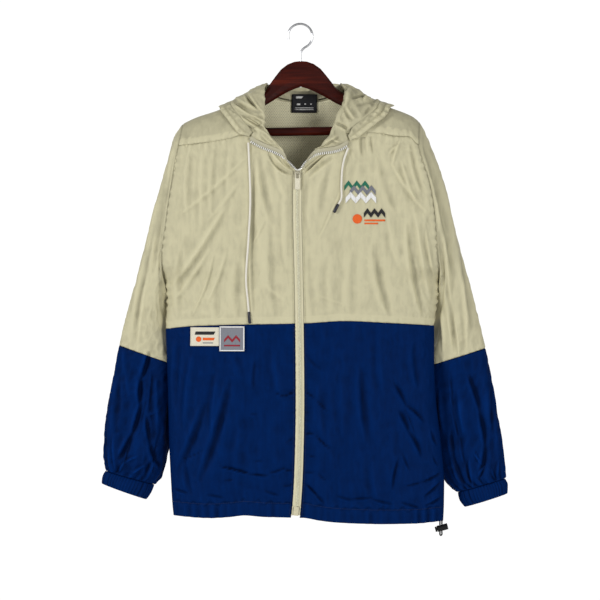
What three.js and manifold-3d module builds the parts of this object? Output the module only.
// Hooded windbreaker jacket on a wooden hanger, in millimetres.
// X runs across (the wearer's left is +X), -Y is the front, +Z is up.
// The origin is the inside top of the hanger's hook, where a rail holds it.
import * as THREE from "three";
import Module from "manifold-3d";

const wasm = await Module();
wasm.setup();

// Driving dimensions
const WALL = 1.6; // cloth wall
const SEAM = 0.3; // gap between two pieces at a seam
const SHOULDER_ROLL = 55; // height over which the shoulder turns from ridge to front
const NECK_ROLL = 40; // the same below the back neck
const UNDERARM_Z = -444;
const ARMHOLE_SHARE = 0.82; // depth of the armhole, as a share of the body's depth
const ARMHOLE_ROUND = 110; // height over which the armhole opens above the underarm
const TAPE_HALF = 7.5; // from the zip's centre line to the panel edge
const TAPE_WIDTH = 7.1;
const TAPE_FLAT = 6.6; // tape seen beside the open teeth
const RIM_WIDTH = 20; // drawcord tunnel round the hood opening
const CUFF_GATHERS = 16; // gathers round a cuff
const CUFF_STEPS = 3; // facets in one gather
const CUFF_GATHER = 0.67; // half height of one gather
const HOOD_CLEAR = 5; // hood's outer face above the body behind it
const CORD_R = 1.7;
const CORD_OFF = 1.2; // drawcord clear of the cloth
const TIP_R = 2.5;
const TIP_LENGTH = 20;
const TIP_SHARE = { right: 1, left: 0.8 }; // how much of a tip shows, as it hangs
const HEM_CORD_R = 1.25;
const HANGER_TILT = 1; // degrees, the wearer's left side up
const BAR_R = 7.4;
const BAR_Z = -181.8;
const BAR_HALF = 172;
const HOOK_R = 19; // inner radius of the hook
const HOOK_TURN = { from: 195, to: -45, step: 20 }; // degrees round the hook, then the stem: x, z
const HOOK_STEM = [
  [4.5, -41],
  [0, -49],
  [0, -60],
  [0, -73],
];
const SHANK = [-56, -75]; // bore for the stem
const WIRE_R = 1.9;

// Sides of the body and armhole line: z, x at the wearer's right, x at the left
const BODY_SIDES = [
  [-160, -199, 204],
  [-180, -202, 203],
  [-205, -206.5, 202],
  [-228, -211, 207],
  [-265, -217, 219],
  [-306, -224, 227],
  [-343, -229, 231],
  [-393, -235, 234],
  [-440, -231, 238],
  [-469, -228, 236],
  [-518, -230, 230],
  [-571, -228, 230],
  [-639, -226, 233],
  [-717, -224, 242],
  [-779, -221, 247],
  [-818, -218.5, 246.5],
  [-850, -215, 245],
];
// Half depth of the body: z, front, back
const BODY_DEPTH = [
  [-100, 40, 40],
  [-190, 45, 46],
  [-300, 49, 48],
  [-444, 51, 50],
  [-640, 47, 46],
  [-850, 42, 42],
];
// Shoulder ridge: x, z. Between the two neck points it is only a guide for the surface.
const RIDGE = [
  [-230, -184],
  [-200, -169],
  [-178, -158.5],
  [-138, -145],
  [-100, -127],
  [-66, -110.5],
  [0, -76],
  [80, -112],
  [104, -123],
  [120, -130.5],
  [163, -144.5],
  [190, -155.5],
  [206, -167],
  [240, -186],
];
// Top edge of the front panels: x, z. Neck edge, then the forward shoulder seam.
const FRONT_TOP_RIGHT = [
  [-210, -207.5],
  [-203, -207],
  [-158, -202],
  [-117, -195.5],
  [-104, -191],
  [-66, -189],
  [-52, -203],
  [-38, -219],
  [-25, -236],
  [-11.5, -249.5],
];
const FRONT_TOP_LEFT = [
  [3, -249.5],
  [20, -236],
  [38, -222],
  [58, -204],
  [80, -187],
  [122, -186],
  [171, -192],
  [184, -192],
  [200, -205],
  [210, -207],
];
// Back neck edge: x, z
const BACK_NECK = [
  [-66, -110.5],
  [-50, -118],
  [-25, -126],
  [5, -129],
  [35, -126],
  [62, -118],
  [80, -112],
];
// Colour seam and hem round the body: x, z
const COLOUR_SEAM = [
  [-235, -519],
  [-186, -514],
  [-94, -511],
  [5, -509],
  [76, -505],
  [145, -508],
  [235, -513],
];
const HEM = [
  [-235, -833],
  [-100, -836],
  [17, -836],
  [120, -841],
  [200, -846],
  [250, -843],
];
// Centre line of the zip: z, x
const ZIP = [
  [-240, -4],
  [-300, -5],
  [-400, -3],
  [-512, -1],
  [-640, 0],
  [-740, -1.6],
  [-809, -5],
  [-840, -8],
];

// Sleeve sections from armhole to cuff. Each is a flat ring between an outer and an inner point:
// outer z, outer x, inner x, inner y, inner z, half depth.
const SLEEVE_RIGHT = [
  [-169, -200, -231.4, 0, -444, 41],
  [-190, -214, -236.5, 9, -460, 43],
  [-225, -224, -239, 19, -480, 44],
  [-276, -236.5, -239, 30, -503, 44],
  [-343, -255, -234, 41, -529, 42],
  [-412, -274, -226, 50, -553, 39],
  [-484, -293, -215, 55, -572, 37],
  [-547, -308, -207, 58, -583, 35],
  [-605, -319, -206, 57, -628, 34],
  [-655, -328, -211, 53, -670, 33],
  [-700, -333, -221.5, 43, -707, 32],
  [-733, -335, -229.5, 37, -741, 31],
  [-752, -333, -236, 32, -768, 27],
  [-761, -331.5, -250, 27, -784.5, 21],
];
const SLEEVE_LEFT = [
  [-167, 204.5, 238.4, 0, -444, 41],
  [-188, 214, 243.5, 9, -460, 43],
  [-222, 227.5, 245, 19, -480, 44],
  [-273, 244.5, 244, 30, -503, 44],
  [-340, 262, 238, 41, -529, 42],
  [-410, 281, 229, 50, -554, 39],
  [-486, 300, 218, 55, -573, 37],
  [-552, 315, 211, 58, -585, 35],
  [-612, 327.5, 212, 57, -632, 34],
  [-668, 338, 218, 55, -680, 33],
  [-712, 345.5, 228, 51, -724, 32],
  [-745, 348.5, 241, 45, -760, 31],
  [-764, 349.5, 253, 36, -783, 27],
  [-774, 349.5, 271, 28, -797.5, 21],
];
const SLEEVE_SPLIT = 7; // section that is the colour seam
const SLEEVE_BLEND = 5; // sections over which the armhole's shape fades out
const OUTER_Y = [0, 12]; // outer point's y at the armhole and at the cuff
// Cuff sections, in the same columns
const CUFF_RIGHT = [
  [-761.7, -331.8, -250.4, 27, -785.2, 21],
  [-772, -336, -257, 27, -799, 24],
  [-783, -338, -264, 27, -810, 23],
];
const CUFF_LEFT = [
  [-774.7, 349.8, 271.3, 28, -798.2, 21],
  [-786, 353.5, 275, 28, -811, 24],
  [-800, 353.6, 283, 28, -823, 23],
];

// Open zip edge and hood front, from the slider up to the rim tunnel:
// neck seam x z, roll line x z, zip teeth line x z
const LAPEL_RIGHT = [
  [-13, -248, -12, -245.5, -9.5, -247],
  [-22, -239.5, -17.5, -233.5, -19, -237],
  [-33, -226, -26.5, -216.5, -30.6, -225.5],
  [-44, -212, -36.5, -202.5, -42.5, -219],
  [-57, -198, -50, -188.5, -58, -213],
  [-66, -187, -60, -176, -71.6, -207],
  [-66, -165, -58, -162, -87, -198],
];
const LAPEL_LEFT = [
  [5, -248, 3.5, -245, 2.5, -247],
  [13, -241.6, 8.5, -235, 8, -238.5],
  [22, -234.4, 16, -224, 15.5, -230.5],
  [32, -226.7, 24, -211, 27, -223],
  [44, -216.6, 37.7, -206, 39.6, -220],
  [57, -205, 49, -190, 55, -218],
  [70, -195, 57, -170, 69, -214],
  [80, -185, 63, -156, 82.6, -206],
];
// Hood from the end of the zip to the shoulder ridge: neck seam x z, roll line x z, outer rim x z
const HOOD_RIGHT = [
  [-66, -161, -58, -158, -90, -197.5],
  [-66, -150, -58.5, -148, -105, -187],
  [-66, -135, -58, -132, -122, -167],
  [-66, -120, -57, -114, -134, -153],
];
const HOOD_LEFT = [
  [80, -178, 65, -151, 86.5, -205],
  [80, -162, 69, -141, 104, -191],
  [80, -143, 72, -128, 126, -174.5],
  [80, -128, 73, -113, 146, -160],
];
// Hood behind the shoulders, as a profile from neck seam to rim. Each point is x (as a share of the
// way from the neck point to the rim point at the ridge), y and z. One row per station.
const NECK_POINT = [-66, 80];
const RIM_POINT = [-139, 161];
const RIDGE_STATION = [
  [-0.03, 0, -108],
  [-0.1, 0, -102],
  [-0.13, 0, -99.5],
  [0.02, 0, -101],
  [0.2, -1, -108.5],
  [0.4, -2, -119],
  [0.58, -3, -127.5],
  [0.73, -4, -134],
];
const BACK_STATIONS = [
  [
    [-0.08, 16, -112],
    [-0.17, 17, -104],
    [-0.16, 21, -100.5],
    [0.1, 27, -108],
    [0.4, 38, -132],
    [0.75, 52, -168],
    [0.98, 62, -172],
    [1.0, 60, -154],
  ],
  [
    [-0.36, 30, -120],
    [-0.42, 32, -110],
    [-0.36, 38, -105],
    [-0.15, 47, -122],
    [0.15, 57, -180],
    [0.5, 72, -228],
    [0.72, 84, -205],
    [0.62, 82, -148],
  ],
  [
    [-0.62, 37, -125],
    [-0.64, 39, -115],
    [-0.6, 45, -108],
    [-0.5, 53, -128],
    [-0.25, 61, -215],
    [0.02, 80, -272],
    [0.2, 98, -225],
    [0.06, 97, -140],
  ],
];
const CENTRE_STATION = [
  [4, 40, -128],
  [4, 41.5, -117],
  [3, 47, -109.5],
  [3, 55, -130],
  [3, 62.5, -223],
  [2, 83, -284],
  [2, 105, -235],
  [2, 106, -132],
];
// Outer rim behind the shoulders, ridge to centre: x, y, z for each side
const RIM_RIGHT = [
  [-139, -4, -142],
  [-131, 50, -134],
  [-98, 78, -121],
  [-55, 94, -108],
];
const RIM_LEFT = [
  [161, -4, -140.5],
  [150, 52, -131],
  [110, 78, -116],
  [66, 94, -95],
];
const RIM_CENTRE = [2, 104, -100];
// Lift of the hood over the body, from neck seam to hood edge
const LAPEL_LIFT = [0.4, 3.6, 6.6, 9, 8.6, 7, 5.8, 4.6];
const LAPEL_STEP = [0, 0.55, 1, 0.1, 0.34, 0.58, 0.8, 1];
const lapelStart = (side) => (side < 0 ? 2 : 3); // the first sections are zip tape alone

// Hanger outline for one arm: x, top z, bottom z, half depth in y
const HANGER = [
  [0, -61.2, -106, 8],
  [11, -62.3, -109.5, 8],
  [22.5, -66.6, -114.5, 8],
  [34, -75.2, -120.5, 8],
  [43.5, -87, -126, 8],
  [52, -98.4, -131, 8.5],
  [60, -109.5, -135.5, 9],
  [70, -116, -140.5, 9.5],
  [100, -129.2, -155.5, 12],
  [140, -146.4, -176, 16],
  [165, -155.2, -192.5, 18],
  [180, -160.4, -195, 18],
  [190, -164.6, -192, 15],
];

// Trim
const LABELS = {
  label_cream: { x: [-185, -136.6], z: [-515.5, -547] },
  label_grey: { x: [-136, -93.5], z: [-513.5, -556] },
};
const LABEL_WALL = 1;
const LABEL_OFF = 0.5; // labels clear of the front
const NECK_LABEL = { x: [-13, 30], z: [-114.5, -147.5], lean: 3, inward: 2.5 };
const LINING = { x: [-118, 126], bottom: -330, belowNeck: 8, belowRidge: 54, inward: 1.1 };
// Drawcords as they hang: x, z
const CORD_RIGHT = [
  [-87.5, -203],
  [-86, -235],
  [-84, -300],
  [-87, -365],
  [-91, -435],
  [-88, -470],
  [-86.4, -489],
];
const CORD_LEFT = [
  [81.5, -212],
  [75, -230],
  [71.5, -248],
  [70, -275],
  [69.7, -298],
  [65, -307],
];
// Hem cord's loop, from the centre of the lock: x, z
const HEM_LOOP = [
  [-1.7, 13.5],
  [-1.7, 6],
  [-1.6, -6],
  [-1.6, -11],
  [0, -12.6],
  [1.6, -11],
  [1.6, -6],
  [1.7, 6],
  [1.7, 13.5],
];
const TAPE_WALL = 1.2;
const TAPE_SUNK = 0.5; // closed tape below the front
const SLIDER = { top: -250, height: 12.5, width: 9.4, plate: 1.5, gap: 3.8, post: 1.8, proud: 0.9 };
const BRIDGE = { half: 3, top: 2.4, high: 4, hole: 1.3, wide: 3 };
const ZIP_BOX = { top: -819.5, height: 15, width: 9, depth: 3.4 };
const PULL = { z: -254, width: 8.6, slot: 4.6, arm: 10, grip: 18, thick: 1.5, corner: 1 };
const LOCK = { x: 240, y: -8, z: -857.5, r: 5.4, length: 20, tilt: 15, bore: 3.2 };
const PLUNGER = { r: 4.4, stem: 2.8, out: 3, reach: 2.6 };
const CORD_PASSAGE = { wide: 7.4, deep: 3.6 };

// Helpers
const vec = (x, y, z) => new THREE.Vector3(x, y, z);
const mix = (a, b, t) => a + (b - a) * t;
const clamp = (v, a, b) => Math.min(b, Math.max(a, v));
const root = new THREE.Group();

function look(table, at, column = 1) {
  const rising = table[1][0] > table[0][0] ? 1 : -1;
  let i = 1;
  while (i < table.length - 1 && rising * (at - table[i][0]) > 0) i++;
  const [a, b] = [table[i - 1], table[i]];
  const t = clamp((at - a[0]) / (b[0] - a[0]), 0, 1);
  return mix(a[column], b[column], t);
}

function add(name, geometry, colour) {
  const material = new THREE.MeshStandardMaterial({ color: colour, roughness: 0.7 });
  const mesh = new THREE.Mesh(geometry, material);
  mesh.name = name;
  root.add(mesh);
}

function toManifold(geometry) {
  const g = geometry.index ? geometry.toNonIndexed() : geometry;
  const p = g.attributes.position.array;
  const mesh = new wasm.Mesh({
    numProp: 3,
    vertProperties: new Float32Array(p),
    triVerts: new Uint32Array(p.length / 3).map((_, i) => i),
  });
  mesh.merge();
  return new wasm.Manifold(mesh);
}

function fromManifold(solid) {
  const mesh = solid.getMesh();
  const g = new THREE.BufferGeometry();
  g.setAttribute("position", new THREE.BufferAttribute(mesh.vertProperties, 3));
  g.setIndex(new THREE.BufferAttribute(mesh.triVerts, 1));
  const flat = g.toNonIndexed();
  flat.computeVertexNormals();
  return flat;
}

const join = (...parts) => fromManifold(wasm.Manifold.union(parts.map(toManifold)));
const cut = (a, ...b) =>
  fromManifold(wasm.Manifold.difference([toManifold(a), ...b.map(toManifold)]));

// Normals of a grid of points, from its own neighbours.
function gridNormals(grid, wrap = false) {
  const n = grid[0].length;
  return grid.map((row, j) =>
    row.map((_, i) => {
      const up = grid[Math.min(j + 1, grid.length - 1)][i];
      const down = grid[Math.max(j - 1, 0)][i];
      const next = wrap ? row[(i + 1) % n] : row[Math.min(i + 1, n - 1)];
      const last = wrap ? row[(i + n - 1) % n] : row[Math.max(i - 1, 0)];
      const du = next.clone().sub(last);
      return du.cross(up.clone().sub(down)).normalize();
    }),
  );
}

// A closed wall between a grid and the same grid moved by depth along its normals.
function shell(grid, normals, depth, { wrap = false, keep = () => true } = {}) {
  const rows = grid.length;
  const cols = grid[0].length;
  const outer = grid;
  const inner = grid.map((row, j) =>
    row.map((p, i) => p.clone().addScaledVector(normals[j][i], depth)),
  );
  const cells = wrap ? cols : cols - 1;
  const has = (j, i) => {
    if (j < 0 || j >= rows - 1) return false;
    if (!wrap && (i < 0 || i >= cells)) return false;
    return keep(j, (i + cells) % cells);
  };
  const tris = [];
  const quad = (a, b, c, d) => tris.push(a, b, c, a, c, d);
  for (let j = 0; j < rows - 1; j++) {
    for (let i = 0; i < cells; i++) {
      if (!has(j, i)) continue;
      const k = (i + 1) % cols;
      quad(outer[j][i], outer[j][k], outer[j + 1][k], outer[j + 1][i]);
      quad(inner[j][i], inner[j + 1][i], inner[j + 1][k], inner[j][k]);
      if (!has(j - 1, i)) quad(outer[j][i], inner[j][i], inner[j][k], outer[j][k]);
      if (!has(j + 1, i))
        quad(outer[j + 1][k], inner[j + 1][k], inner[j + 1][i], outer[j + 1][i]);
      if (!has(j, i - 1)) quad(outer[j + 1][i], inner[j + 1][i], inner[j][i], outer[j][i]);
      if (!has(j, i + 1)) quad(outer[j][k], inner[j][k], inner[j + 1][k], outer[j + 1][k]);
    }
  }
  return solid(tris);
}

function solid(tris) {
  let volume = 0;
  for (let i = 0; i < tris.length; i += 3)
    volume += tris[i].dot(tris[i + 1].clone().cross(tris[i + 2]));
  if (volume < 0)
    for (let i = 0; i < tris.length; i += 3)
      [tris[i + 1], tris[i + 2]] = [tris[i + 2], tris[i + 1]];
  const g = new THREE.BufferGeometry().setFromPoints(tris);
  g.computeVertexNormals();
  return g;
}

// Body surface
const sideX = (side, z) => look(BODY_SIDES, z, side < 0 ? 1 : 2);
const zipX = (z) => look(ZIP, z);

function share(x, z) {
  const l = sideX(-1, z);
  const r = sideX(1, z);
  return clamp((2 * x - l - r) / (r - l), -1, 1);
}

function armholeShare(z) {
  const t = clamp((z - UNDERARM_Z) / ARMHOLE_ROUND, 0, 1);
  return ARMHOLE_SHARE * Math.sqrt(1 - (1 - t) * (1 - t));
}

function bodyDepth(x, z, back) {
  const open = armholeShare(z);
  const round = Math.sqrt(1 - share(x, z) ** 2);
  const t = clamp((look(RIDGE, x) - z) / SHOULDER_ROLL, 0, 1);
  const top = Math.sqrt(1 - (1 - t) * (1 - t));
  return look(BODY_DEPTH, z, back ? 2 : 1) * (open + (1 - open) * round) * top;
}

function bodyPoint(x, z, back) {
  const d = bodyDepth(x, z, back);
  return vec(x, back ? d : -d, z);
}

function bodyNormal(x, z, back) {
  const step = 2;
  const l = sideX(-1, z);
  const r = sideX(1, z);
  const xa = clamp(x - step, l, r);
  const xb = clamp(x + step, l, r);
  const dx = (bodyDepth(xb, z, back) - bodyDepth(xa, z, back)) / (xb - xa);
  const dz = (bodyDepth(x, z + step, back) - bodyDepth(x, z - step, back)) / (2 * step);
  const onSide = bodyDepth(x, z, back) < SEAM / 2;
  const y = onSide ? 0 : back ? 1 : -1;
  return vec(-dx, y, onSide ? 0 : -dz).normalize();
}

const over = (x, z, lift) =>
  bodyPoint(x, z, false).addScaledVector(bodyNormal(x, z, false), lift);

// Columns: angle across the body, the same on both sides of every seam
const OUTER_CELLS = 7;
const NECK_CELLS = 6;
const INNER_CELLS = 4;
const angleOf = (x, z) => Math.asin(share(x, z));
const columnX = (angle, z) =>
  mix(sideX(-1, z), sideX(1, z), (Math.sin(angle) + 1) / 2);
const NECK_Z = -150; // level at which the neck points set their columns
const NECK_ANGLE = NECK_POINT.map((x) => angleOf(x, NECK_Z));

function outerAngles(side) {
  const neck = NECK_ANGLE[side < 0 ? 0 : 1];
  const edge = (side * Math.PI) / 2;
  return Array.from({ length: OUTER_CELLS + 1 }, (_, i) => mix(neck, edge, i / OUTER_CELLS));
}

// The z of a column where it meets a curve z = f(x).
const MEET_ROUNDS = 12;
function meet(xOfZ, curve) {
  let z = curve(0);
  for (let i = 0; i < MEET_ROUNDS; i++) z = curve(xOfZ(z));
  return z;
}

const CHEST_ROWS = 2; // colour seam to underarm
const FRONT_ROWS = 6; // underarm to forward shoulder seam
const BACK_ROWS = 5; // underarm to the start of the shoulder roll
const ROLL_ROWS = 4; // shoulder roll, each way from the ridge
const LOWER_ROWS = 8; // hem to colour seam

// Keeps a side seam's two edges apart.
function splitSide(p, back) {
  const gap = SEAM / 2;
  if (Math.abs(p.y) < gap) p.y = back ? gap : -gap;
  return p;
}

function frontColumns(side) {
  const outer = outerAngles(side).map((angle) => (z) => columnX(angle, z));
  const zipEdge = (z) => zipX(z) + side * TAPE_HALF;
  const inner = Array.from({ length: INNER_CELLS }, (_, i) => (z) => {
    return mix(zipEdge(z), outer[0](z), i / INNER_CELLS);
  });
  return [...inner, ...outer];
}

function frontUpper(side) {
  const table = side < 0 ? FRONT_TOP_RIGHT : FRONT_TOP_LEFT;
  const columns = frontColumns(side);
  const last = columns.length - 1;
  const levels = columns.map((xOfZ) => {
    const seam = meet(xOfZ, (x) => look(COLOUR_SEAM, x)) + SEAM / 2;
    const top = meet(xOfZ, (x) => look(table, x)) - SEAM / 2;
    const zs = [];
    for (let j = 0; j < CHEST_ROWS; j++) zs.push(mix(seam, UNDERARM_Z, j / CHEST_ROWS));
    for (let j = 0; j <= FRONT_ROWS; j++) zs.push(mix(UNDERARM_Z, top, j / FRONT_ROWS));
    return zs;
  });
  const at = (fn) =>
    levels[0].map((_, j) =>
      columns.map((xOfZ, i) => {
        const z = levels[i][j];
        const pull = i === last && j >= CHEST_ROWS ? (side * SEAM) / 2 : 0;
        return fn(xOfZ(z) - pull, z);
      }),
    );
  const grid = at((x, z) => splitSide(bodyPoint(x, z, false), false));
  const normals = at((x, z) => bodyNormal(x, z, false));
  return { grid, normals };
}

function lower(columns, back) {
  const at = (fn) =>
    Array.from({ length: LOWER_ROWS + 1 }, (_, j) =>
      columns.map((xOfZ) => {
        const hem = meet(xOfZ, (x) => look(HEM, x));
        const seam = meet(xOfZ, (x) => look(COLOUR_SEAM, x)) - SEAM / 2;
        const z = mix(hem, seam, j / LOWER_ROWS);
        return fn(xOfZ(z), z);
      }),
    );
  return {
    grid: at((x, z) => splitSide(bodyPoint(x, z, back), back)),
    normals: at((x, z) => bodyNormal(x, z, back)),
  };
}

// Back panel: up the back, over the shoulder ridge and down to the forward shoulder seam.
function backColumns() {
  const right = outerAngles(-1).reverse();
  const left = outerAngles(1);
  const neck = [];
  for (let i = 1; i < NECK_CELLS; i++)
    neck.push(mix(NECK_ANGLE[0], NECK_ANGLE[1], i / NECK_CELLS));
  return [...right, ...neck, ...left].map((angle) => (z) => columnX(angle, z));
}

function backUpper() {
  const columns = backColumns();
  const count = columns.length;
  const inNeck = (i) => i > OUTER_CELLS && i < OUTER_CELLS + NECK_CELLS;
  const rowsUp = CHEST_ROWS + BACK_ROWS + ROLL_ROWS;
  const grid = [];
  const normals = [];
  for (let j = 0; j <= rowsUp + ROLL_ROWS; j++) {
    grid.push([]);
    normals.push([]);
  }
  columns.forEach((xOfZ, i) => {
    const edge = i === 0 || i === count - 1;
    const side = i < count / 2 ? -1 : 1;
    const seam = meet(xOfZ, (x) => look(COLOUR_SEAM, x)) + SEAM / 2;
    const topOf = inNeck(i) ? (x) => look(BACK_NECK, x) : (x) => look(RIDGE, x);
    const top = meet(xOfZ, topOf);
    const start = top - (inNeck(i) ? NECK_ROLL : SHOULDER_ROLL);
    const zs = [];
    for (let j = 0; j < CHEST_ROWS; j++) zs.push(mix(seam, UNDERARM_Z, j / CHEST_ROWS));
    for (let j = 0; j < BACK_ROWS; j++) zs.push(mix(UNDERARM_Z, start, j / BACK_ROWS));
    for (let j = 0; j <= ROLL_ROWS; j++) {
      zs.push(mix(start, top, Math.sin((j / ROLL_ROWS) * (Math.PI / 2))));
    }
    zs.forEach((z, j) => {
      const pull = edge && j >= CHEST_ROWS ? (side * SEAM) / 2 : 0;
      grid[j].push(splitSide(bodyPoint(xOfZ(z) - pull, z, true), true));
      normals[j].push(bodyNormal(xOfZ(z) - pull, z, true));
    });
    const ridge = grid[rowsUp][i];
    if (!inNeck(i)) {
      ridge.y = 0;
      normals[rowsUp][i].y = 0;
      normals[rowsUp][i].normalize();
    }
    const table = side < 0 ? FRONT_TOP_RIGHT : FRONT_TOP_LEFT;
    const yoke = meet(xOfZ, (x) => look(table, x)) + SEAM / 2;
    for (let j = 1; j <= ROLL_ROWS; j++) {
      const z = mix(top, yoke, 1 - Math.cos((j / ROLL_ROWS) * (Math.PI / 2)));
      const x = xOfZ(z) - (edge ? (side * SEAM) / 2 : 0);
      grid[rowsUp + j].push(bodyPoint(x, z, false));
      normals[rowsUp + j].push(bodyNormal(x, z, false));
    }
  });
  const keep = (j, i) => j < rowsUp || i < OUTER_CELLS || i >= OUTER_CELLS + NECK_CELLS;
  return { grid, normals, keep, rowsUp };
}

const fronts = { right: frontUpper(-1), left: frontUpper(1) };
const back = backUpper();
const CREAM = 0xc8c2a0;
const NAVY = 0x0a2252;
const WOOD = 0x3b100b;
const METAL = 0xb8b8b8;
const BLACK = 0x141414;
const WHITE = 0xf2f0e8;
for (const [name, side] of [["right", -1], ["left", 1]]) {
  const upper = fronts[name];
  const low = lower(frontColumns(side), false);
  add(`front_upper_${name}`, shell(upper.grid, upper.normals, -WALL), CREAM);
  add(`front_lower_${name}`, shell(low.grid, low.normals, -WALL), NAVY);
}
add("back_upper", shell(back.grid, back.normals, -WALL, { keep: back.keep }), CREAM);
const backLow = lower(backColumns(), true);
add("back_lower", shell(backLow.grid, backLow.normals, -WALL), NAVY);

// Mesh lining behind the neck opening, and the neck label on it
function insideBack(x, z, inward) {
  const p = bodyPoint(x, z, true);
  return p.addScaledVector(bodyNormal(x, z, true), -inward);
}
function patch(columns, rows, point) {
  return Array.from({ length: rows + 1 }, (_, j) =>
    Array.from({ length: columns + 1 }, (_, i) => point(i / columns, j / rows)),
  );
}
function wallForward(grid, thick) {
  const normals = gridNormals(grid);
  return shell(grid, normals, normals[1][1].y < 0 ? thick : -thick);
}
const liningTop = (x) =>
  Math.min(look(BACK_NECK, x) - LINING.belowNeck, look(RIDGE, x) - LINING.belowRidge);
const lining = patch(14, 8, (u, v) => {
  const x = mix(LINING.x[0], LINING.x[1], u);
  return insideBack(x, mix(liningTop(x), LINING.bottom, v), WALL + LINING.inward);
});
add("back_lining", wallForward(lining, LABEL_WALL), CREAM);
const neckLabel = patch(3, 3, (u, v) => {
  const z = mix(NECK_LABEL.z[0], NECK_LABEL.z[1], v);
  const x = mix(NECK_LABEL.x[0], NECK_LABEL.x[1], u) - NECK_LABEL.lean * v;
  return insideBack(x, z, WALL + NECK_LABEL.inward);
});
add("neck_label", wallForward(neckLabel, LABEL_WALL), BLACK);
for (const [name, { x, z }] of Object.entries(LABELS)) {
  const grid = patch(4, 3, (u, v) => over(mix(x[0], x[1], u), mix(z[0], z[1], v), LABEL_OFF));
  add(name, wallForward(grid, LABEL_WALL), CREAM);
}

// Sleeves
function armholeLoop(side) {
  const name = side < 0 ? "right" : "left";
  const front = fronts[name].grid;
  const edge = front[0].length - 1;
  const backEdge = side < 0 ? 0 : back.grid[0].length - 1;
  const loop = [vec(sideX(side, UNDERARM_Z), 0, UNDERARM_Z)];
  for (let j = CHEST_ROWS + 1; j <= CHEST_ROWS + FRONT_ROWS; j++) loop.push(front[j][edge].clone());
  for (let j = ROLL_ROWS - 1; j > 0; j--) loop.push(back.grid[back.rowsUp + j][backEdge].clone());
  for (let j = back.rowsUp; j > CHEST_ROWS; j--) loop.push(back.grid[j][backEdge].clone());
  return loop.map((p) => p.setX(p.x + side * SEAM));
}

function ring(row, y0, angles) {
  const outer = vec(row[1], y0, row[0]);
  const inner = vec(row[2], row[3], row[4]);
  const centre = outer.clone().add(inner).multiplyScalar(0.5);
  const half = outer.clone().sub(inner).multiplyScalar(0.5);
  const across = vec(half.x, 0, half.z).normalize();
  const forward = half.clone().normalize().cross(vec(-across.z, 0, across.x)).normalize();
  if (forward.y > 0) forward.negate();
  return angles.map((a) =>
    centre
      .clone()
      .addScaledVector(half, Math.cos(a))
      .addScaledVector(forward, row[5] * Math.sin(a)),
  );
}

const LEAST_FLAT = 0.6;
function sleeve(side) {
  const table = side < 0 ? SLEEVE_RIGHT : SLEEVE_LEFT;
  const loop = armholeLoop(side);
  const peak = ROLL_ROWS + FRONT_ROWS;
  const [low, high] = [loop[0].z, loop[peak].z];
  const angles = loop.map((p, k) => {
    const a = Math.acos(clamp((2 * (p.z - low)) / (high - low) - 1, -1, 1));
    return k <= peak ? a : 2 * Math.PI - a;
  });
  const flat = ring(table[0], 0, angles);
  const last = table.length - 1;
  return table.map((row, r) => {
    const section = ring(row, mix(OUTER_Y[0], OUTER_Y[1], r / last), angles);
    const weight = (1 - Math.min(1, r / SLEEVE_BLEND)) ** 2;
    return section.map((p, k) => p.addScaledVector(loop[k].clone().sub(flat[k]), weight));
  });
}

const nudge = (row, toward, length) =>
  row.map((p, i) => {
    const way = toward[i].clone().sub(p).normalize();
    return p.clone().addScaledVector(way, length);
  });

for (const [name, side] of [["right", -1], ["left", 1]]) {
  const rings = sleeve(side);
  const normals = gridNormals(rings, true);
  if (side > 0) normals.forEach((row) => row.forEach((n) => n.negate()));
  const cuts = SLEEVE_SPLIT;
  const upper = rings.slice(0, cuts + 1);
  const low = rings.slice(cuts);
  upper[cuts] = nudge(rings[cuts], rings[cuts - 1], SEAM / 2);
  low[0] = nudge(rings[cuts], rings[cuts + 1], SEAM / 2);
  const facing = normals[3][3].y < 0 ? -WALL : WALL;
  // The wall's first edge stays on the sleeve's side of the armhole.
  normals[0].forEach((n) => {
    if (n.x * facing * side >= 0) return;
    const flat = Math.hypot(n.y, n.z);
    const length = 1 / Math.max(LEAST_FLAT, flat);
    n.set(0, n.y / flat, n.z / flat).multiplyScalar(length);
  });
  add(`sleeve_upper_${name}`, shell(upper, normals.slice(0, cuts + 1), facing, { wrap: true }), CREAM);
  add(`sleeve_lower_${name}`, shell(low, normals.slice(cuts), facing, { wrap: true }), NAVY);

  const steps = CUFF_GATHERS * CUFF_STEPS;
  const angles = Array.from({ length: steps }, (_, i) => (i / steps) * 2 * Math.PI);
  const cuffRings = (side < 0 ? CUFF_RIGHT : CUFF_LEFT).map((row) => {
    const smooth = ring(row, OUTER_Y[1], angles);
    const centre = smooth.reduce((a, p) => a.add(p), vec(0, 0, 0)).divideScalar(steps);
    return smooth.map((p, i) => {
      const way = p.clone().sub(centre).normalize();
      return p.addScaledVector(way, CUFF_GATHER * (Math.cos((i / CUFF_STEPS) * 2 * Math.PI) - 1));
    });
  });
  const cuffNormals = cuffRings.map((row) => {
    const centre = row.reduce((a, p) => a.add(p), vec(0, 0, 0)).divideScalar(steps);
    return row.map((p) => p.clone().sub(centre).normalize());
  });
  add(`cuff_${name}`, shell(cuffRings, cuffNormals, -WALL, { wrap: true }), NAVY);
}

// Hood: stations round the neck, each a profile from the neck seam to the hood's edge
const toward = (a, b, length) => {
  const d = Math.hypot(b[0] - a[0], b[1] - a[1]);
  return [a[0] + ((b[0] - a[0]) * length) / d, a[1] + ((b[1] - a[1]) * length) / d];
};

const NECK_INSET = 2.7; // hood's neck edge above the panel's edge
const FULL_REACH = 12; // a flap at least this wide has its whole lift
const LEAST_SCALE = 0.35;
const LEAST_LIFT = 2.6;
const ROLL_POINT = 2; // last profile point between the neck seam and the roll line
const FULL_POINT = 5; // points after this one keep their lift on a narrow flap

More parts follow.
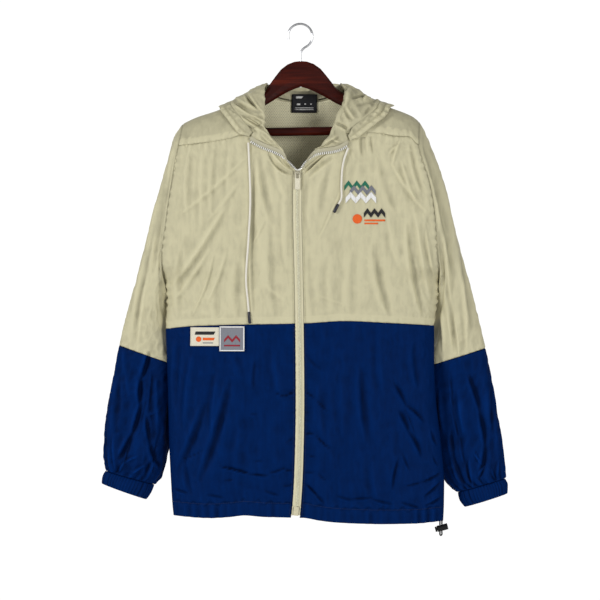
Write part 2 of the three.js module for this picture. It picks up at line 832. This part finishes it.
function flapStation(row, hemWidth) {
  const [nx, nz, cx, cz, ex, ez] = row;
  const neck = toward([nx, nz], [cx, cz], NECK_INSET);
  const roll = [cx, cz];
  const edge = toward([ex, ez], [cx, cz], hemWidth + 3 * SEAM);
  const reach = Math.hypot(edge[0] - cx, edge[1] - cz);
  const scale = clamp(reach / FULL_REACH, LEAST_SCALE, 1);
  return LAPEL_STEP.map((s, k) => {
    const [a, b] = k <= ROLL_POINT ? [neck, roll] : [roll, edge];
    const low = k > FULL_POINT ? 1 : scale;
    const lift = Math.max(LAPEL_LIFT[k] * low, k ? LEAST_LIFT : LAPEL_LIFT[0]);
    return over(mix(a[0], b[0], s), mix(a[1], b[1], s), lift);
  });
}

const NECK_DEPTH = 43; // the neck opening reaches this far back
// Moves a hood point out until it is clear of the body under it.
function clearOfBody(p) {
  const overNeck = p.x > NECK_POINT[0] && p.x < NECK_POINT[1];
  if (overNeck && p.y < NECK_DEPTH) return p;
  const depth = bodyDepth(p.x, look(RIDGE, p.x) - SHOULDER_ROLL, p.y > 0);
  const up = SHOULDER_ROLL - (look(RIDGE, p.x) - p.z);
  const least = 1 + HOOD_CLEAR / depth;
  const now = Math.hypot(p.y / depth, Math.max(0, up) / SHOULDER_ROLL);
  if (now >= least) return p;
  p.y *= least / now;
  if (up > 0) p.z += up * (least / now - 1);
  return p;
}

function backStation(profile, side) {
  const s = side < 0 ? 0 : 1;
  return profile.map(([u, y, z]) => vec(mix(NECK_POINT[s], RIM_POINT[s], u), y, z));
}

// Adds the half-way station to each pair where the hood goes round the shoulder.
function withHalfway(list, from, to) {
  return list.flatMap((row, i) => {
    if (i < from || i >= to) return [row];
    return [row, row.map((p, k) => p.clone().lerp(list[i + 1][k], 0.5))];
  });
}

function hoodSide(side) {
  const lapel = side < 0 ? LAPEL_RIGHT : LAPEL_LEFT;
  const hood = side < 0 ? HOOD_RIGHT : HOOD_LEFT;
  const open = lapel.slice(lapelStart(side));
  const ridge = open.length + hood.length;
  const list = [
    ...open.map((row) => flapStation(row, TAPE_WIDTH)),
    ...hood.map((row) => flapStation(row, RIM_WIDTH)),
    backStation(RIDGE_STATION, side),
    ...BACK_STATIONS.map((row) => backStation(row, side)),
  ];
  return withHalfway(list, ridge - 1, ridge + 2).map((row) =>
    row.map((p, k) => (k > ROLL_POINT + 1 ? clearOfBody(p) : p)),
  );
}

const resample = (points, count) => {
  const curve = new THREE.CatmullRomCurve3(points, false, "centripetal");
  return Array.from({ length: count + 1 }, (_, i) => curve.getPoint(i / count));
};
const PROFILE_STEPS = 14;
const stations = [
  ...hoodSide(-1),
  CENTRE_STATION.map(([x, y, z]) => vec(x, y, z)),
  ...hoodSide(1).reverse(),
].map((profile) => resample(profile, PROFILE_STEPS));
const hoodNormals = gridNormals(stations);
const CENTRE_SEAM = 2; // stations from the centre one to the hood's two seams
const HOOD_SEAM = 0.42; // how far a hood piece ends before its seam
const centre = hoodSide(-1).length;
const rightEnd = centre - CENTRE_SEAM;
const leftEnd = centre + CENTRE_SEAM;
const hoodPiece = (from, to) => {
  const grid = stations.slice(from, to + 1);
  if (from > 0) grid[0] = nudge(stations[from], stations[from + 1], HOOD_SEAM);
  if (to < stations.length - 1) grid[to - from] = nudge(stations[to], stations[to - 1], HOOD_SEAM);
  return shell(grid, hoodNormals.slice(from, to + 1), WALL * HOOD_FACE);
};
const HOOD_FACE = hoodNormals[3][7].y < 0 ? -1 : 1;
add("hood_side_right", hoodPiece(0, rightEnd), CREAM);
add("hood_centre", hoodPiece(rightEnd, leftEnd), CREAM);
add("hood_side_left", hoodPiece(leftEnd, stations.length - 1), CREAM);

// Rim tunnel with the drawcord: a band from the hood's edge to the outer rim
const RIM_LIFT = 3.4;
const RIM_SEAM = 0.9; // gap between the rim and the hood's edge

function rimSide(side) {
  const hood = side < 0 ? HOOD_RIGHT : HOOD_LEFT;
  const behind = side < 0 ? RIM_RIGHT : RIM_LEFT;
  const front = hood.map((r) => over(r[4], r[5], RIM_LIFT));
  const outer = [...front, ...behind.map((p) => vec(...p))];
  const rows = outer.map((p) => [p]);
  return withHalfway(rows, hood.length - 1, hood.length + 2).map(([p]) => clearOfBody(p));
}

function rimRows() {
  const outer = [...rimSide(-1), vec(...RIM_CENTRE), ...rimSide(1).reverse()];
  const first = centre + 1 - (outer.length + 1) / 2;
  return outer.map((p, k) => {
    const inner = stations[first + k].at(-1);
    const way = inner.clone().sub(p).normalize();
    return [
      p,
      p.clone().lerp(inner, 0.5),
      inner.clone().addScaledVector(way, -RIM_SEAM),
    ];
  });
}
const rim = rimRows();
const rimNormals = gridNormals(rim);
add("hood_rim", shell(rim, rimNormals, (rimNormals[1][1].y < 0 ? -1 : 1) * WALL), CREAM);

// Zip tapes: closed up to the slider, then along the open edges of the front
const TAPE_EDGE = { closed: 0.2, slider: 1.5, box: ZIP_BOX.width / 2 + SEAM }; // from the centre line
const TAPE_LOW = [-834, ZIP_BOX.top + 0.3, ZIP_BOX.top + 0.8];
const TAPE_ROWS = [...TAPE_LOW, -780, -720, -640, -560, -480, -400, -330, -270, -263, -250];
const OPEN_LIFT = { first: 2.2, step: 0.6, last: 3.6 }; // teeth above the front, from the slider up

function tapeEdge(z) {
  if (z < TAPE_LOW[2]) return TAPE_EDGE.box;
  return z < SLIDER.top - SLIDER.height - 1 ? TAPE_EDGE.closed : TAPE_EDGE.slider;
}

function zipTape(side) {
  const lapel = side < 0 ? LAPEL_RIGHT : LAPEL_LEFT;
  const rows = TAPE_ROWS.map((z) => {
    const x = zipX(z) + side * tapeEdge(z);
    const far = zipX(z) + side * TAPE_WIDTH;
    return [x, (x + far) / 2, far].map((v) => over(v, z, -TAPE_SUNK));
  });
  lapel.forEach((row, k) => {
    const at = k - lapelStart(side);
    const tooth = over(row[4], row[5], at < 0 ? OPEN_LIFT.first + k * OPEN_LIFT.step : OPEN_LIFT.last);
    // Just above the slider the tape stands on edge, and then it turns to lie on the hood.
    let way = vec(side * 0.6, -0.8, 0.1);
    if (k >= 1) way = vec(side * (0.5 - 0.25 * k), -0.9, 0.35 * k);
    if (at >= 0)
      way = stations[side < 0 ? at : stations.length - 1 - at].at(-1).clone().sub(tooth);
    way.normalize();
    rows.push([0, 0.5, 1].map((s) => tooth.clone().addScaledVector(way, TAPE_FLAT * s)));
  });
  return rows;
}
for (const [name, side] of [["right", -1], ["left", 1]]) {
  const rows = zipTape(side);
  const normals = gridNormals(rows);
  const facing = normals[2][1].y < 0 ? -1 : 1;
  add(`zip_tape_${name}`, shell(rows, normals, facing * TAPE_WALL), CREAM);
}

const box = (w, d, h, x, y, z) => new THREE.BoxGeometry(w, d, h).translate(x, y, z);
const frontY = (x, z) => -bodyDepth(x, z, false);
const zipBox = (() => {
  const { width, depth, height, top } = ZIP_BOX;
  const sunk = 1;
  const z = top - height / 2;
  const x = zipX(z);
  const g = new THREE.BoxGeometry(width, depth, height);
  g.rotateY(Math.atan((zipX(top) - zipX(top - height)) / height));
  return g.translate(x, frontY(x, z) + sunk, z);
})();
add("zip_box", zipBox, CREAM);

// Slider: front and back plate, post between the tapes, bridge for the pull tab
const SLIDER_LEVEL = -256; // the zip's centre and the front's depth are taken here
const sliderX = zipX(SLIDER_LEVEL);
const sliderZ = SLIDER.top - SLIDER.height / 2;
const plateY = frontY(sliderX, SLIDER_LEVEL) - SLIDER.proud;
const outline = (Kind, points) => new Kind(points.map(([x, y]) => new THREE.Vector2(x, y)));
const bridge = (() => {
  const { half, top, high, hole, wide } = BRIDGE;
  const sunk = 0.4;
  const shape = outline(THREE.Shape, [[-half, sunk], [-top, -high], [top, -high], [half, sunk]]);
  const [near, far] = [-0.2, -0.2 - 2 * hole];
  shape.holes.push(outline(THREE.Path, [[-hole, near], [hole, near], [hole, far], [-hole, far]]));
  const g = new THREE.ExtrudeGeometry(shape, { depth: wide, bevelEnabled: false });
  g.applyMatrix4(new THREE.Matrix4().makeBasis(vec(0, 0, 1), vec(0, 1, 0), vec(-1, 0, 0)));
  return g.translate(sliderX + wide / 2, plateY - SLIDER.plate, PULL.z);
})();
const slider = (() => {
  const { width, plate, height, gap, post } = SLIDER;
  const plates = [plateY - plate / 2, plateY + gap + plate / 2];
  const middle = box(post, gap + plate * 0.8, height - 1, sliderX, plateY + gap / 2, sliderZ);
  return join(...plates.map((y) => box(width, plate, height, sliderX, y, sliderZ)), middle, bridge);
})();
add("zip_slider", slider, CREAM);

// Pull tab: a cross bar through the bridge, two arms and a grip
const pullY = plateY - SLIDER.plate - 1.5;
const pull = (() => {
  const { width, slot, arm, grip, thick, corner } = PULL;
  const bar = thick / 2;
  const half = width / 2;
  const end = arm + grip;
  const right = [
    [half - 0.8 * corner, bar],
    [half - 0.3 * corner, -arm],
    [half, -arm - corner],
    [half, -end + corner],
    [half - corner, -end],
  ];
  const left = right.map(([x, z]) => [-x, z]).reverse();
  const shape = outline(THREE.Shape, [...right, ...left]);
  const [near, far] = [-bar, 0.5 - arm];
  const s = slot / 2;
  shape.holes.push(outline(THREE.Path, [[-s, near], [-s, far], [s, far], [s, near]]));
  const g = new THREE.ExtrudeGeometry(shape, { depth: thick, bevelEnabled: false });
  g.rotateX(Math.PI / 2);
  return g.translate(sliderX, pullY + bar, PULL.z);
})();
add("zip_pull", pull, CREAM);

// Cords
function cordGeometry(points, r, steps, sides = 8) {
  const curve = new THREE.CatmullRomCurve3(points, false, "centripetal");
  const shape = new THREE.Shape();
  for (let i = 0; i < sides; i++) {
    const a = (i / sides) * 2 * Math.PI;
    const [x, y] = [r * Math.cos(a), r * Math.sin(a)];
    if (i) shape.lineTo(x, y);
    else shape.moveTo(x, y);
  }
  return new THREE.ExtrudeGeometry(shape, { steps, extrudePath: curve, bevelEnabled: false });
}

function tube(a, b, r, sides = 12) {
  const way = b.clone().sub(a);
  const g = new THREE.CylinderGeometry(r, r, way.length(), sides);
  g.applyQuaternion(new THREE.Quaternion().setFromUnitVectors(vec(0, 1, 0), way.clone().normalize()));
  const mid = a.clone().add(b).multiplyScalar(0.5);
  return g.translate(mid.x, mid.y, mid.z);
}

for (const [name, table] of [["right", CORD_RIGHT], ["left", CORD_LEFT]]) {
  const points = table.map(([x, z]) => over(x, z, CORD_R + CORD_OFF));
  points[0].y -= 1.5;
  add(`drawcord_${name}`, cordGeometry(points, CORD_R, name === "right" ? 20 : 12), WHITE);
  const way = points.at(-1).clone().sub(points.at(-2)).normalize();
  const start = points.at(-1).clone().addScaledVector(way, SEAM);
  const end = start.clone().addScaledVector(way, TIP_LENGTH * TIP_SHARE[name]);
  add(`cord_tip_${name}`, tube(start, end, TIP_R, 10), NAVY);
}

// Hem cord: a loop from the hem through the cord lock
const hemCord = HEM_LOOP.map(([x, z]) => vec(LOCK.x + x, LOCK.y, LOCK.z + z));
add("hem_cord", cordGeometry(hemCord, HEM_CORD_R, 22), BLACK);
const lockTurn = new THREE.Matrix4().makeRotationY((-LOCK.tilt * Math.PI) / 180);
const place = (g) => g.applyMatrix4(lockTurn).translate(LOCK.x, LOCK.y, LOCK.z);
const lockEnd = -6.5; // the barrel's end with the button, from the cord's line
const boreEnd = lockEnd + PLUNGER.reach;
const along = (from, to, r, sides) => tube(vec(from, 0, 0), vec(to, 0, 0), r, sides);
const barrel = along(lockEnd, lockEnd + LOCK.length - 1.5, LOCK.r, 14).applyMatrix4(lockTurn);
const bore = along(lockEnd - 0.5, boreEnd + 0.1, LOCK.bore, 12).applyMatrix4(lockTurn);
const passage = box(CORD_PASSAGE.wide, CORD_PASSAGE.deep, 2 * LOCK.length, 0, 0, 0);
add("cord_lock", cut(barrel, bore, passage).translate(LOCK.x, LOCK.y, LOCK.z), BLACK);
const button = lockEnd - 0.5;
const plunger = join(
  along(button - PLUNGER.out, button, PLUNGER.r, 12),
  along(button - 0.5, boreEnd - 0.5, PLUNGER.stem, 12),
);
add("cord_plunger", place(plunger), BLACK);

// Hanger
function hangerArms() {
  const rows = [...HANGER.slice(1).reverse().map((r) => [-r[0], r[1], r[2], r[3]]), ...HANGER];
  const sides = 12;
  const squared = (v) => Math.sign(v) * Math.abs(v) ** 0.75; // a section between oval and oblong
  const section = ([x, top, bottom, deep]) =>
    Array.from({ length: sides }, (_, k) => {
      const a = ((k + 0.5) / sides) * 2 * Math.PI;
      const high = (top - bottom) / 2;
      return vec(x, deep * squared(Math.cos(a)), (top + bottom) / 2 + high * squared(Math.sin(a)));
    });
  const rings = rows.map(section);
  const tris = [];
  rings.slice(1).forEach((ringB, j) => {
    const ringA = rings[j];
    for (let k = 0; k < sides; k++) {
      const n = (k + 1) % sides;
      tris.push(ringA[k], ringA[n], ringB[n], ringA[k], ringB[n], ringB[k]);
    }
  });
  for (const [r, flip] of [[rings[0], true], [rings.at(-1), false]]) {
    const centre = r.reduce((a, p) => a.add(p), vec(0, 0, 0)).divideScalar(sides);
    r.forEach((p, k) => {
      const q = r[(k + 1) % sides];
      tris.push(centre, flip ? q : p, flip ? p : q);
    });
  }
  return solid(tris);
}
const tilt = (g) => g.rotateY((-HANGER_TILT * Math.PI) / 180);
const boreBar = tube(vec(-BAR_HALF, 0, BAR_Z), vec(BAR_HALF, 0, BAR_Z), BAR_R + SEAM, 16);
const shank = tube(vec(0, 0, SHANK[0]), vec(0, 0, SHANK[1]), WIRE_R + SEAM);
add("hanger_arms", tilt(cut(hangerArms(), boreBar, shank)), WOOD);
const barEnd = BAR_HALF - SEAM;
add("hanger_bar", tilt(tube(vec(-barEnd, 0, BAR_Z), vec(barEnd, 0, BAR_Z), BAR_R, 16)), WOOD);
const hookPath = [];
for (let a = HOOK_TURN.from; a >= HOOK_TURN.to; a -= HOOK_TURN.step) {
  const t = (a * Math.PI) / 180;
  const r = HOOK_R + WIRE_R;
  hookPath.push(vec(r * Math.cos(t), 0, r * Math.sin(t) - HOOK_R));
}
hookPath.push(...HOOK_STEM.map(([x, z]) => vec(x, 0, z)));
add("hanger_hook", tilt(cordGeometry(hookPath, WIRE_R, 40)), METAL);

export default root;
